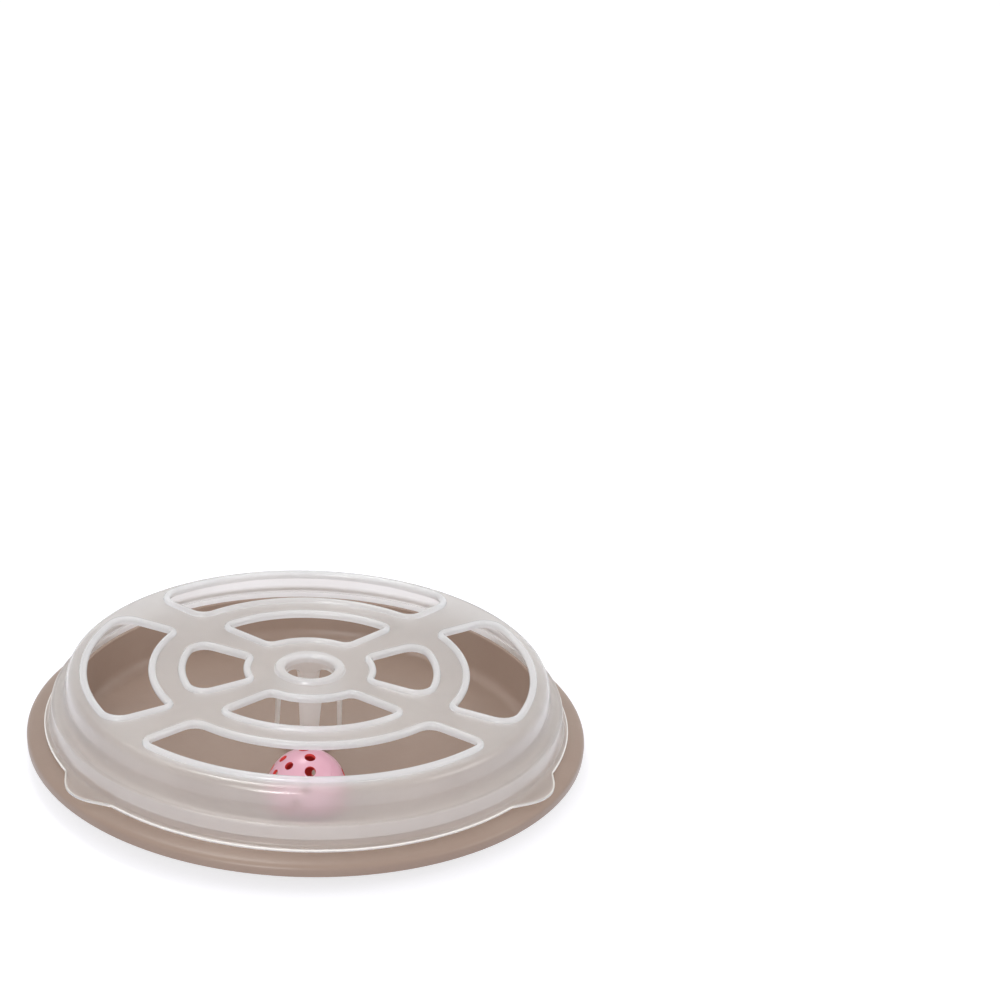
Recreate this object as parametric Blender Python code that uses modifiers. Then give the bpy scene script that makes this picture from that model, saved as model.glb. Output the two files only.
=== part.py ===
"""Cat ball track toy: a pan, a translucent clip-on dome and a jingling ball that runs between them.

Metres, +Z up. The origin is on the ground under the centre of the pan.
"""

import bmesh
import bpy
from math import asin, atan2, cos, pi, radians, sin, sqrt
from mathutils import Matrix, Vector

# Clearance between pieces that touch or run in each other.
GAP = 0.0003

# Anti-slip pads, let into the underside of the pan.
PAD_R = 0.008
PAD_H = 0.0020
PAD_PROUD = 0.0017

# Pan: a round floor with a standing wall, a ledge outside it that carries the dome and a rolled rim.
PAN_T = 0.0020
TRACK_R = 0.1240
PAD_INSET = 0.0200
STAND_H = 0.0253
PAN_DRAFT = 0.0020
PAN_DEPTH = 0.0153
STEP_H = 0.0012
LEDGE_FALL = 0.0006
LEDGE_LAP = 0.0042
RIM_W = 0.0070
RIM_DROP = 0.0083
HUB_BOSS_H = 0.0028

# Ball and its running room under the dome.
BALL_R = 0.0200
BALL_WALL = 0.0016
BALL_TO_WALL = 0.0390
BALL_RUN_ANGLE = -92.2
LAP_H = 0.0018
HEADROOM = 0.0012

# Dome: a flat plate, a wall that flares out over the standing wall, a skirt and a thin lip.
DOME_T = 0.0016
WALL_T = 0.0015
SHOULDER_R = 0.0050
WALL_OUT = 0.0006
FLARE_OUT = 0.0082
FLARE_RISE = 0.0022
SKIRT_DRAFT = 0.0008
LIP_W = 0.0026
LIP_PROUD = 0.0022
TAB_REACH = 0.0080
TAB_HALF_ANGLE = 8.7
TAB_T = 0.0016
SPOKE_ANGLES = (35.0, 145.0, 215.0, 325.0)

# Hub: a tube through the plate, a low collar above it and four legs below it.
HUB_TUBE_R = 0.0174
HUB_TUBE_T = 0.0024
HUB_DRAFT = 0.0007
HUB_RISE = 0.0022
ARCH_HALF_W = 0.0080
ARCH_CROWN = 0.0042

# Windows: inner and outer radius, half angle of the side line there, and the two corner fillets.
BEAD_R = 0.0020
BEAD_LIFT = 0.0001
HUB_LAND = 0.0176
INNER_WINDOW_W = 0.0300
OUTER_WINDOW_W = 0.0318
SHOULDER_LAND = 0.0100
INNER_RING = (HUB_TUBE_R + HUB_LAND, HUB_TUBE_R + HUB_LAND + INNER_WINDOW_W)
OUTER_REACH = TRACK_R + PAN_DRAFT - SHOULDER_LAND
OUTER_RING = (OUTER_REACH - OUTER_WINDOW_W, OUTER_REACH)
WINDOWS = (
    ("inner_front", INNER_RING, -90.0, (36.0, 43.0), (0.0046, 0.0035)),
    ("inner_back", INNER_RING, 90.0, (36.0, 43.0), (0.0046, 0.0035)),
    ("inner_left", INNER_RING, 180.0, (21.0, 25.5), (0.0035, 0.0070)),
    ("inner_right", INNER_RING, 0.0, (21.0, 25.5), (0.0035, 0.0070)),
    ("outer_front", OUTER_RING, -90.0, (44.0, 46.0), (0.0070, 0.0046)),
    ("outer_back", OUTER_RING, 90.0, (44.0, 46.0), (0.0070, 0.0046)),
    ("outer_left", OUTER_RING, 180.0, (30.0, 30.0), (0.0035, 0.0081)),
    ("outer_right", OUTER_RING, 0.0, (30.0, 30.0), (0.0035, 0.0081)),
)

# Ball perforations: angle from the pole, how many, first angle round it and radius.
BALL_POLE = Vector((-0.805, -0.244, 0.541)).normalized()
BALL_HOLES = ((0.0, 1, 0.0, 0.0021), (25.6, 6, 3.9, 0.0023), (57.5, 12, 15.9, 0.0028))

# Jingle bell, low in the ball.
BELL_R = 0.0065
BELL_WALL = 0.0005
BELL_CRIMP_W = 0.0004
BELL_CRIMP_H = 0.0008
BELL_SLOT_W = 0.0012
PELLET_R = 0.0019
BELL_PLAY = 0.0006

STEPS = 48

# Heights and radii that follow from the sizes above.
FLOOR_TOP = PAD_PROUD + PAN_T
LEDGE_Z = FLOOR_TOP + PAN_DEPTH
STAND_Z = FLOOR_TOP + STAND_H
STAND_R = TRACK_R + PAN_DRAFT
SEAT_R = STAND_R + PAN_T
WALL_R = STAND_R + WALL_OUT
FLARE_R = WALL_R + FLARE_OUT
SKIRT_R = FLARE_R + SKIRT_DRAFT
LIP_R = SKIRT_R + LIP_W
LEDGE_R = LIP_R - LIP_PROUD
RIM_R = LEDGE_R + LEDGE_LAP + RIM_W
PAD_CIRCLE_R = TRACK_R - PAD_INSET
BALL_RUN_R = TRACK_R - BALL_TO_WALL
HUB_HOLE_R = HUB_TUBE_R - HUB_TUBE_T
HUB_FOOT_R = HUB_TUBE_R + HUB_DRAFT
BALL_Z = FLOOR_TOP + GAP + BALL_R
PLATE_Z = BALL_Z + BALL_R + HEADROOM
PLATE_TOP = PLATE_Z + DOME_T


def fresh_scene():
    for obj in list(bpy.data.objects):
        bpy.data.objects.remove(obj, do_unlink=True)


def collection(name, helper=False):
    made = bpy.data.collections.new(name)
    bpy.context.scene.collection.children.link(made)
    made.hide_render = helper
    return made


def material(name, colour, roughness, metallic=0.0):
    made = bpy.data.materials.new(name)
    made.use_nodes = True
    shader = made.node_tree.nodes["Principled BSDF"]
    shader.inputs["Base Color"].default_value = (*colour, 1.0)
    shader.inputs["Roughness"].default_value = roughness
    shader.inputs["Metallic"].default_value = metallic
    return made


def place(name, data, where):
    obj = bpy.data.objects.new(name, data)
    where.objects.link(obj)
    if where is CUTTERS:
        obj.hide_render = True
        obj.display_type = "WIRE"
    return obj


def turned(name, profile, where, steps=STEPS):
    """A solid of revolution. The profile runs outwards along the top, down and back inwards."""
    mesh = bpy.data.meshes.new(name)
    points = [(r, 0.0, z) for r, z in profile]
    closed = min(r for r, _ in profile) > 0.0
    edges = [(i, i + 1) for i in range(len(points) - 1)]
    if closed:
        edges.append((len(points) - 1, 0))
    mesh.from_pydata(points, edges, [])
    obj = place(name, mesh, where)
    screw = obj.modifiers.new("Turn", "SCREW")
    screw.axis = "Z"
    screw.steps = screw.render_steps = steps
    screw.use_merge_vertices = True
    screw.merge_threshold = 0.00001
    screw.use_smooth_shade = True
    return obj


def to_mesh(obj):
    """Replaces an object by the mesh that its curve or its modifiers make."""
    graph = bpy.context.evaluated_depsgraph_get()
    mesh = bpy.data.meshes.new_from_object(obj.evaluated_get(graph))
    bm = bmesh.new()
    bm.from_mesh(mesh)
    bmesh.ops.remove_doubles(bm, verts=bm.verts, dist=0.000002)
    bmesh.ops.recalc_face_normals(bm, faces=bm.faces)
    bm.to_mesh(mesh)
    bm.free()
    name, where, matrix = obj.name, obj.users_collection[0], obj.matrix_world.copy()
    bpy.data.objects.remove(obj, do_unlink=True)
    made = place(name, mesh, where)
    made.matrix_world = matrix
    return made


def slab(name, outline, low, high, where):
    """A flat outline of (x, y) points between two heights."""
    curve = bpy.data.curves.new(name, "CURVE")
    curve.dimensions = "2D"
    curve.fill_mode = "BOTH"
    curve.extrude = (high - low) / 2
    spline = curve.splines.new("POLY")
    spline.points.add(len(outline) - 1)
    for point, (x, y) in zip(spline.points, outline):
        point.co = (x, y, 0.0, 1.0)
    spline.use_cyclic_u = True
    obj = place(name, curve, where)
    obj.location.z = (low + high) / 2
    bpy.context.view_layer.update()
    return to_mesh(obj)


def bead(name, outline, height, radius, where):
    """A round bead along a closed outline."""
    curve = bpy.data.curves.new(name, "CURVE")
    curve.dimensions = "3D"
    curve.bevel_depth = radius
    curve.bevel_resolution = 1
    spline = curve.splines.new("POLY")
    spline.points.add(len(outline) - 1)
    for point, (x, y) in zip(spline.points, outline):
        point.co = (x, y, height, 1.0)
    spline.use_cyclic_u = True
    return to_mesh(place(name, curve, where))


def joined(name, pieces, where):
    """Several meshes as one helper object."""
    bm = bmesh.new()
    for piece in pieces:
        start = len(bm.verts)
        bm.from_mesh(piece.data)
        bm.verts.ensure_lookup_table()
        bmesh.ops.transform(bm, matrix=piece.matrix_world, verts=bm.verts[start:])
        bpy.data.objects.remove(piece, do_unlink=True)
    mesh = bpy.data.meshes.new(name)
    bm.to_mesh(mesh)
    bm.free()
    return place(name, mesh, where)


def boolean(target, operation, tool):
    step = target.modifiers.new(f"{operation.title()} {tool.name}", "BOOLEAN")
    step.operation = operation
    step.solver = "EXACT"
    step.object = tool


def finished(obj, look, sharp=38.0):
    """Applies the modifiers, smooths the round faces and gives the piece its material."""
    bpy.context.view_layer.update()
    obj = to_mesh(obj)
    obj.data.shade_smooth()
    obj.data.set_sharp_from_angle(angle=radians(sharp))
    obj.data.materials.clear()
    obj.data.materials.append(look)
    return obj


def arc(centre_r, centre_z, radius, start, end, count):
    """Points on an arc in the (r, z) plane, angles in degrees."""
    angles = [radians(start + (end - start) * i / count) for i in range(count + 1)]
    return [(centre_r + radius * cos(a), centre_z + radius * sin(a)) for a in angles]


def bezier(a, b, c, d, count):
    """Points on a cubic curve in the (r, z) plane, without its first point."""
    found = []
    for i in range(1, count + 1):
        t = i / count
        w = ((1 - t) ** 3, 3 * t * (1 - t) ** 2, 3 * t * t * (1 - t), t**3)
        found.append(tuple(sum(k * p[n] for k, p in zip(w, (a, b, c, d))) for n in (0, 1)))
    return found


def window_outline(ring, centre, half_angles, fillets, spacing=0.0120):
    """The rounded outline of a window, on the centre line of its bead."""
    r0, r1 = ring[0] - BEAD_R, ring[1] + BEAD_R
    ends = []
    for r, half, edge in ((r0, half_angles[0], ring[0]), (r1, half_angles[1], ring[1])):
        turn = radians(half) + BEAD_R / edge
        ends.append(Vector((r * cos(turn), r * sin(turn))))
    along = (ends[1] - ends[0]).normalized()
    inward = Vector((along.y, -along.x))

    def corner(radius, offset):
        start = ends[0] + inward * offset
        b = start.dot(along)
        return start + along * (-b + sqrt(b * b - start.dot(start) + radius * radius))

    f0, f1 = fillets[0] + BEAD_R, fillets[1] + BEAD_R
    inner, outer = corner(r0 + f0, f0), corner(r1 - f1, f1)
    side = atan2(-inward.y, -inward.x)
    low, high = atan2(inner.y, inner.x), atan2(outer.y, outer.x)

    def swept(origin, radius, a, b, least):
        count = max(least, round(abs(b - a) * radius / spacing))
        return [origin + radius * Vector((cos(a + (b - a) * i / count), sin(a + (b - a) * i / count)))
                for i in range(count + 1)]

    origin = Vector((0.0, 0.0))
    half = swept(origin, r1, 0.0, high, 3) + swept(outer, f1, high, side, 3)[1:]
    half += swept(inner, f0, side, low + pi, 3) + swept(origin, r0, low, 0.0, 2)[1:]
    points = half[:-1] + [Vector((p.x, -p.y)) for p in reversed(half[1:])]
    turn = Matrix.Rotation(radians(centre), 2)
    return [tuple(turn @ p) for p in points]


def ledge(r):
    """Height of the ledge, which falls a little towards the rim."""
    return LEDGE_Z - LEDGE_FALL * (r - SEAT_R) / (LEDGE_R - SEAT_R)


def pan():
    """The pan, from the boss in the middle out over the standing wall to the rim, and back underneath."""
    boss_r = HUB_FOOT_R - HUB_TUBE_T - GAP
    foot = 0.0030
    step_r = SKIRT_R - WALL_T - GAP
    step_z = LEDGE_Z + STEP_H
    ledge_low = ledge(LEDGE_R)
    rim_start = LEDGE_R + LEDGE_LAP
    rim_low = ledge_low - RIM_DROP
    wall = PAN_T
    under = PAD_PROUD
    profile = [
        (0.0, FLOOR_TOP + HUB_BOSS_H),
        (boss_r - 0.0006, FLOOR_TOP + HUB_BOSS_H),
        (boss_r, FLOOR_TOP + HUB_BOSS_H - 0.0006),
        (boss_r, FLOOR_TOP),
        (TRACK_R - foot, FLOOR_TOP),
        (TRACK_R - foot * 0.3, FLOOR_TOP + foot * 0.22),
        (TRACK_R, FLOOR_TOP + foot * 0.9),
        (STAND_R, STAND_Z - wall * 0.25),
        (STAND_R + wall * 0.25, STAND_Z),
        (SEAT_R - wall * 0.25, STAND_Z),
        (SEAT_R, STAND_Z - wall * 0.25),
        (SEAT_R + 0.0002, step_z + 0.0006),
        (SEAT_R + 0.0008, step_z),
        (step_r - 0.0003, step_z),
        (step_r, ledge(step_r)),
        (LEDGE_R, ledge_low),
        (LEDGE_R + 0.0004, ledge_low - 0.0008),
        (rim_start, ledge_low - 0.0013),
    ]
    profile += bezier(
        (rim_start, ledge_low - 0.0013),
        (rim_start + RIM_W * 0.70, ledge_low - 0.0020),
        (RIM_R, ledge_low - RIM_DROP * 0.30),
        (RIM_R, ledge_low - RIM_DROP * 0.60),
        3,
    )
    profile += [(RIM_R - 0.0002, rim_low), (RIM_R - 0.0018, rim_low)]
    inside = RIM_R - wall
    profile += bezier(
        (inside, rim_low + 0.0008),
        (inside, ledge_low - RIM_DROP * 0.45),
        (inside - RIM_W * 0.53, ledge_low - 0.0033),
        (LEDGE_R, ledge_low - 0.0030),
        2,
    )
    profile += [
        (step_r - wall, step_z - wall),
        (SEAT_R - 0.0008, step_z - wall),
        (TRACK_R + wall, FLOOR_TOP + foot * 0.6),
        (TRACK_R + wall - foot, under),
        (0.0, under),
    ]
    obj = turned("base_tray", profile, PARTS)
    recesses = []
    for i, angle in enumerate((45.0, 135.0, 225.0, 315.0)):
        bpy.ops.mesh.primitive_cylinder_add(
            vertices=20,
            radius=PAD_R + GAP,
            depth=2 * (PAD_H + GAP - PAD_PROUD),
            location=(PAD_CIRCLE_R * cos(radians(angle)), PAD_CIRCLE_R * sin(radians(angle)), under),
        )
        recesses.append(adopted(f"pad_recess_{i + 1}", CUTTERS))
    boolean(obj, "DIFFERENCE", joined("pad_recesses", recesses, CUTTERS))
    return finished(obj, TAUPE)


def adopted(name, where):
    """Names the primitive just added and moves it to a collection."""
    obj = bpy.context.object
    obj.name = name
    for old in list(obj.users_collection):
        old.objects.unlink(obj)
    where.objects.link(obj)
    if where is CUTTERS:
        obj.hide_render = True
        obj.display_type = "WIRE"
    bpy.context.view_layer.update()
    return obj


def dome_profile():
    """The dome wall, outside from the hub collar to the lip, and back up the inside and down the hub tube."""
    top, under = PLATE_TOP, PLATE_Z
    collar = top + HUB_RISE
    low = FLOOR_TOP + GAP
    shoulder_r = WALL_R - SHOULDER_R
    cove_z = STAND_Z + FLARE_RISE
    wall_low = cove_z + (top - cove_z) * 0.38
    lip_low = ledge(LIP_R) + GAP
    outside = [
        (HUB_HOLE_R, collar - 0.0006),
        (HUB_HOLE_R + 0.0006, collar),
        (HUB_TUBE_R - 0.0004, collar),
        (HUB_TUBE_R + 0.0004, collar - 0.0006),
        (HUB_TUBE_R + 0.0009, top + 0.0006),
        (HUB_TUBE_R + 0.0018, top),
    ]
    outside += arc(shoulder_r, top - SHOULDER_R, SHOULDER_R, 90.0, 6.0, 4)
    outside.append((WALL_R + 0.0008, wall_low))
    outside += bezier(
        (WALL_R + 0.0008, wall_low),
        (WALL_R + 0.0014, cove_z + 0.0020),
        (WALL_R + 0.0024, cove_z + 0.0004),
        (WALL_R + FLARE_OUT * 0.76, cove_z - 0.0001),
        3,
    )
    outside += [
        (FLARE_R - 0.0007, cove_z - 0.0007),
        (FLARE_R, cove_z - 0.0021),
        (SKIRT_R, LEDGE_Z + 0.0032),
        (SKIRT_R + 0.0007, LEDGE_Z + 0.0020),
        (LIP_R - 0.0006, lip_low + 0.0015),
        (LIP_R, lip_low + 0.0009),
        (LIP_R - 0.0003, lip_low),
    ]
    skirt_in = SKIRT_R - WALL_T
    inside = [
        (skirt_in, ledge(skirt_in) + GAP),
        (FLARE_R - WALL_T, cove_z - 0.0026),
        (FLARE_R - WALL_T - 0.0006, cove_z - 0.0017),
    ]
    inside += bezier(
        (WALL_R + FLARE_OUT * 0.60, cove_z - 0.0014),
        (WALL_R + 0.0012, cove_z - 0.0012),
        (WALL_R + 0.0002, cove_z + 0.0008),
        (WALL_R + 0.0008 - WALL_T, wall_low),
        3,
    )
    inside += arc(shoulder_r, top - SHOULDER_R, SHOULDER_R - WALL_T, 6.0, 90.0, 3)[:-1]
    inside += [
        (shoulder_r - 0.0010, under),
        (HUB_TUBE_R + 0.0012, under),
        (HUB_TUBE_R + 0.0001, under - 0.0010),
        (HUB_FOOT_R, low),
        (HUB_FOOT_R - HUB_TUBE_T, low),
    ]
    return outside + inside


def arches():
    """Cutters that leave the hub tube on four legs, on the diagonals of the square of legs."""
    crown = PLATE_Z - ARCH_CROWN
    rise = ARCH_HALF_W * 0.62
    low = FLOOR_TOP - PAN_T
    outline = [(-ARCH_HALF_W, low), (ARCH_HALF_W, low)]
    for i in range(9):
        turn = pi * i / 8
        outline.append((ARCH_HALF_W * cos(turn), crown - rise + rise * sin(turn)))
    cutters = []
    for i, angle in enumerate((45.0, 135.0)):
        arch = slab(f"arch_{i + 1}", outline, -1.5 * HUB_TUBE_R, 1.5 * HUB_TUBE_R, CUTTERS)
        stand = Matrix.Rotation(radians(angle), 4, "Z") @ Matrix.Rotation(radians(90.0), 4, "X")
        arch.matrix_world = stand
        bpy.context.view_layer.update()
        cutters.append(arch)
    return cutters


def lift_tab(name, angle):
    """A rounded thumb tab that grows out of the lip."""
    lip_r = LIP_R
    half = radians(TAB_HALF_ANGLE)
    reach = lip_r + TAB_REACH
    sunk = lip_r - 0.0012
    root = [(sunk * cos(half * t), sunk * sin(half * t)) for t in (-1, -0.5, 0, 0.5, 1)]
    tip = []
    for t in (0.86, 0.60, 0.36, 0.20, 0.08, -0.08, -0.20, -0.36, -0.60, -0.86):
        r = lip_r + TAB_REACH * max(0.0, 1 - abs(t)) ** 0.8 * (1.08 - 0.08 * abs(t))
        r = min(r, reach)
        tip.append((r * cos(half * t), r * sin(half * t)))
    low = ledge(lip_r) + GAP + 0.0001
    obj = slab(name, root + tip, low, low + TAB_T - 0.0004, CUTTERS)
    obj.matrix_world = Matrix.Rotation(radians(angle), 4, "Z") @ obj.matrix_world
    bpy.context.view_layer.update()
    return obj


def dome():
    obj = turned("cover", dome_profile(), PARTS)
    holes, beads = [], []
    for name, ring, centre, half_angles, fillets in WINDOWS:
        outline = window_outline(ring, centre, half_angles, fillets)
        holes.append(slab(f"hole_{name}", outline, PLATE_Z - 2 * BEAD_R, PLATE_TOP + 2 * BEAD_R, CUTTERS))
        beads.append(bead(f"bead_{name}", outline, PLATE_TOP + BEAD_LIFT, BEAD_R, CUTTERS))
    boolean(obj, "DIFFERENCE", joined("window_holes", holes, CUTTERS))
    boolean(obj, "UNION", joined("window_beads", beads, CUTTERS))
    for arch in arches():
        boolean(obj, "DIFFERENCE", arch)
    tabs = [lift_tab(f"tab_{i + 1}", angle) for i, angle in enumerate(SPOKE_ANGLES)]
    boolean(obj, "UNION", joined("lift_tabs", tabs, CUTTERS))
    return finished(obj, FROSTED)


def half_shell(name, upper):
    """Half of the ball about its own pole, with a half-lap joint on the seam."""
    inner = BALL_R - BALL_WALL
    middle = (BALL_R + inner) / 2
    rows = 6
    if upper:
        seam_out, seam_in = GAP / 2, LAP_H + GAP
        top = [(BALL_R * sin(a), BALL_R * cos(a)) for a in latitudes(seam_out, BALL_R, rows)]
        low = [(inner * sin(a), inner * cos(a)) for a in latitudes(seam_in, inner, rows)]
        step_r = middle + GAP / 2
        step = [(sqrt(BALL_R**2 - seam_out**2), seam_out), (step_r, seam_out), (step_r, seam_in)]
    else:
        seam_out, seam_in = -GAP / 2, LAP_H
        top = [(BALL_R * sin(a), BALL_R * cos(a)) for a in latitudes(-seam_out, BALL_R, rows)]
        low = [(inner * sin(a), inner * cos(a)) for a in latitudes(0.0, inner, rows)]
        step_r = middle - GAP / 2
        low_step = sqrt(inner**2 - LAP_H**2)
        step = [(BALL_R, -seam_out), (step_r, -seam_out), (step_r, -LAP_H), (low_step, -LAP_H)]
    profile = top + step[1:] + list(reversed(low))
    if not upper:
        profile = [(r, -z) for r, z in reversed(profile)]
    return profile


def latitudes(height, radius, rows):
    """Angles from the pole down to where a sphere's wall is at a height."""
    last = pi / 2 - height / radius
    return [last * i / rows for i in range(rows + 1)]


def ball_half(name, upper, look):
    obj = turned(name, half_shell(name, upper), PARTS, 22)
    aim = BALL_POLE.to_track_quat("Z", "Y").to_matrix().to_4x4()
    drills = []
    for row, (tilt, count, start, radius) in enumerate(BALL_HOLES):
        for i in range(count):
            spot = Matrix.Rotation(radians(start + 360.0 * i / count), 4, "Z")
            spot = spot @ Matrix.Rotation(radians(tilt if upper else 180.0 - tilt), 4, "Y")
            bm = bmesh.new()
            bmesh.ops.create_cone(
                bm,
                cap_ends=True,
                segments=8,
                radius1=radius,
                radius2=radius,
                depth=BALL_WALL * 4,
                matrix=spot @ Matrix.Translation((0.0, 0.0, BALL_R)),
            )
            mesh = bpy.data.meshes.new(f"drill_{row}_{i}")
            bm.to_mesh(mesh)
            bm.free()
            drills.append(place(mesh.name, mesh, CUTTERS))
    boolean(obj, "DIFFERENCE", joined(f"{name}_drills", drills, CUTTERS))
    obj = finished(obj, look)
    obj.parent = BALL_AXIS
    obj.matrix_world = Matrix.Translation(BALL_AXIS.location) @ aim
    return obj


def bell_profile(upper):
    inner = BELL_R - BELL_CRIMP_W - BELL_WALL
    outer = BELL_R - BELL_CRIMP_W
    seam = GAP / 2
    rows = 4
    top = [(outer * sin(a), outer * cos(a)) for a in latitudes(seam + BELL_CRIMP_H / 2, outer, rows)]
    low = [(inner * sin(a), inner * cos(a)) for a in latitudes(seam, inner, rows)]
    crimp = [(BELL_R, seam + BELL_CRIMP_H / 2), (BELL_R, seam)]
    profile = top + crimp + list(reversed(low))
    return profile if upper else [(r, -z) for r, z in reversed(profile)]


def bell():
    """The bell lies on the ball's wall with its running play, seam level, slots down."""
    centre = Vector((BALL_AXIS.location.x, BALL_AXIS.location.y, BALL_Z))
    centre.z -= BALL_R - BALL_WALL - BELL_PLAY - (BELL_R - BELL_CRIMP_W)
    cap = turned("bell_cap", bell_profile(True), PARTS, 16)
    cup = turned("bell_cup", bell_profile(False), PARTS, 16)
    slots = []
    reach, end_r = BELL_R * 0.58, BELL_SLOT_W
    narrow = asin(BELL_SLOT_W / 2 / end_r)
    outline = []
    for side in (0.0, pi):
        for i in range(7):
            turn = side - pi + narrow + (2 * pi - 2 * narrow) * i / 6
            outline.append((reach * cos(side) + end_r * cos(turn), end_r * sin(turn)))
    for i, angle in enumerate((0.0, 90.0)):
        slot = slab(f"bell_slot_{i + 1}", outline, -1.2 * BELL_R, -0.3 * BELL_R, CUTTERS)
        slot.matrix_world = Matrix.Rotation(radians(angle), 4, "Z") @ slot.matrix_world
        bpy.context.view_layer.update()
        slots.append(slot)
    for slot in slots:
        boolean(cup, "DIFFERENCE", slot)
    pieces = [finished(cap, BRASS), finished(cup, BRASS)]
    for slot in slots:
        bpy.data.objects.remove(slot, do_unlink=True)
    bpy.ops.mesh.primitive_uv_sphere_add(segments=10, ring_count=6, radius=PELLET_R)
    pellet = adopted("bell_pellet", PARTS)
    pieces.append(finished(pellet, STEEL))
    floor = BELL_R - BELL_CRIMP_W - BELL_WALL - GAP - PELLET_R
    for piece in pieces:
        piece.parent = ORBIT_AXIS
        drop = floor if piece.name == "bell_pellet" else 0.0
        piece.matrix_world = Matrix.Translation(centre - Vector((0.0, 0.0, drop)))
    return pieces


def pads():
    for i, angle in enumerate((45.0, 135.0, 225.0, 315.0)):
        bpy.ops.mesh.primitive_cylinder_add(
            vertices=20,
            radius=PAD_R,
            depth=PAD_H,
            location=(
                PAD_CIRCLE_R * cos(radians(angle)),
                PAD_CIRCLE_R * sin(radians(angle)),
                PAD_H / 2,
            ),
        )
        finished(adopted(f"foot_pad_{i + 1}", PARTS), RUBBER)


def empty(name, location):
    obj = bpy.data.objects.new(name, None)
    PARTS.objects.link(obj)
    obj.location = location
    bpy.context.view_layer.update()
    return obj


fresh_scene()
PARTS = collection("Cat ball track toy")
CUTTERS = collection("Cutters", helper=True)
TAUPE = material("Taupe polypropylene", (0.33, 0.25, 0.20), 0.42)
FROSTED = material("Frosted polypropylene", (0.80, 0.79, 0.80), 0.32)
PINK = material("Pink polypropylene", (0.86, 0.42, 0.62), 0.35)
BRASS = material("Bell brass", (0.80, 0.60, 0.28), 0.28, 1.0)
STEEL = material("Pellet steel", (0.62, 0.62, 0.64), 0.30, 1.0)
RUBBER = material("Pad rubber", (0.70, 0.69, 0.67), 0.60)
ORBIT_AXIS = empty("orbit_axis", (0.0, 0.0, FLOOR_TOP))
BALL_AXIS = empty(
    "ball_axis",
    (
        BALL_RUN_R * cos(radians(BALL_RUN_ANGLE)),
        BALL_RUN_R * sin(radians(BALL_RUN_ANGLE)),
        BALL_Z,
    ),
)
pan()
dome()
ball_half("ball_half_upper", True, PINK)
ball_half("ball_half_lower", False, PINK)
bell()
pads()
for cutter in list(CUTTERS.objects):
    cutter.hide_viewport = False
bpy.context.view_layer.update()
print(f"pan radius {RIM_R * 1000:.1f} mm, plate top {PLATE_TOP * 1000:.1f} mm")
print(f"ball centre {BALL_Z * 1000:.1f} mm up, on a circle of {BALL_RUN_R * 1000:.1f} mm")
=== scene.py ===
# %% [markdown]
# # A cat ball track toy
# The toy is a taupe pan, a frosted dome that clips over it and a pink jingle ball that runs between
# the two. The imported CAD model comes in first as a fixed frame, so that every fine piece can be built
# in its place, in metres, and ride on the body that carries it.

from math import asin, atan2, cos, pi, radians, sin, sqrt, tan

import bmesh
import bpy
from mathutils import Matrix, Vector


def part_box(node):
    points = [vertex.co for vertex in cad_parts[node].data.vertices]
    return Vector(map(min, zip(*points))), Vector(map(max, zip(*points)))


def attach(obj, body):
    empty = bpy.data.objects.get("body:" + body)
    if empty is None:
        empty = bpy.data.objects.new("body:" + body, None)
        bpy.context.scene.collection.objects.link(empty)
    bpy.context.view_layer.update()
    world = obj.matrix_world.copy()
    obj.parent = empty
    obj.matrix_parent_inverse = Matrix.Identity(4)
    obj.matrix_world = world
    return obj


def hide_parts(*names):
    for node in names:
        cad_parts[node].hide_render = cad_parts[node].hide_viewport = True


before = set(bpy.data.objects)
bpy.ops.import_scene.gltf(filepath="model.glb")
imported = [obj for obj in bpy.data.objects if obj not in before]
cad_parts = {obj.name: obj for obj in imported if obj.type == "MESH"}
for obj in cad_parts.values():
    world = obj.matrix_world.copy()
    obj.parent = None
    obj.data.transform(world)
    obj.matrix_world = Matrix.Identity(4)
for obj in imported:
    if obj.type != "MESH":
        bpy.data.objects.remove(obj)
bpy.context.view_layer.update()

# %% [markdown]
# The frame's boxes tell where the pan's rim ends and how high the dome stands. Reading the rim from
# the frame keeps the fine pan in step with the CAD. The other sizes are the CAD's own, or a little finer.

# %% Read sizes from the frame
MM = 0.001
_, pan_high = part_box("base_tray")
_, dome_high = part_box("cover")
RIM_R = pan_high.x
print(f"rim radius {RIM_R / MM:.1f} mm, dome top {dome_high.z / MM:.1f} mm")

# %% Sizes that more than one piece uses
GAP = 0.3 * MM
PAN_UNDER = 1.7 * MM
SEAT_R, LIP_R = 128.0 * MM, 138.2 * MM
LEDGE_Z, LEDGE_FALL = 19.0 * MM, 0.6 / 8.0
PLATE_UNDER, PLATE_TOP = 45.2 * MM, 46.8 * MM
BEAD_R, BEAD_DROP, BEAD_Z = 2.0 * MM, 2.6 * MM, 46.9 * MM
BALL_R, BALL_WALL = 20.0 * MM, 1.6 * MM
TRACK_MID, BALL_TURN, BALL_Z = 85.0 * MM, radians(-92.2), 24.0 * MM
BALL_AT = Vector((TRACK_MID * cos(BALL_TURN), TRACK_MID * sin(BALL_TURN), BALL_Z))
print("ball centre", [round(c / MM, 1) for c in BALL_AT])

# %% [markdown]
# ## The camera
# The picture was taken from the front with a long lens, from well above the table, and the toy lies
# left of and below the middle of the frame. So the camera stands 1.35 m away on the toy's front side
# and looks past it to the right, with a small roll, instead of using lens shift.

# %% Place the camera
CAMERA_AWAY, CAMERA_RISE, CAMERA_TURN = 1.3507, 27.073, -2.4
LOOK_YAW, LOOK_DOWN, LOOK_ROLL = 4.494, 23.167, -3.667
AIM_HEIGHT = 48.9 * MM
LENS, SENSOR = 91.894, 36.0


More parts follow.
